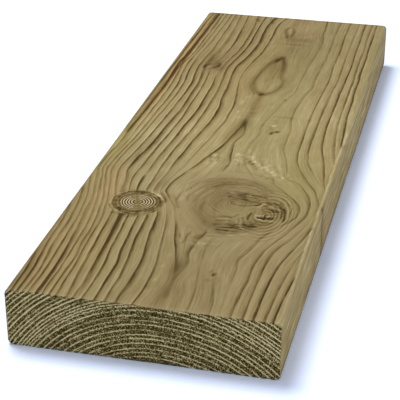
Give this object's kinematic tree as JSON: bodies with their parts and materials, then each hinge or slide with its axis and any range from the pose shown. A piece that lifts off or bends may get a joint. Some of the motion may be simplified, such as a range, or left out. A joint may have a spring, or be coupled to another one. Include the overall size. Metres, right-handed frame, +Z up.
{
  "type": "timber lumber plank",
  "caption": "Treated softwood plank lying flat, sawn square at both ends, with eased long edges, ringed end grain and knots.",
  "frame": {"origin": "middle of the underside, half way along and half way across", "axes": "+X across the width to the right, +Y along the length away from the near end, +Z up through the thickness; the plank lies flat on its wide face"},
  "size_m": [0.195, 0.61, 0.045],
  "materials": {
    "treated_timber": "planed treated softwood with raised latewood, and rough sawn ends"
  },
  "bodies": {
    "root": {"plank": "treated_timber"}
  },
  "joints": []
}
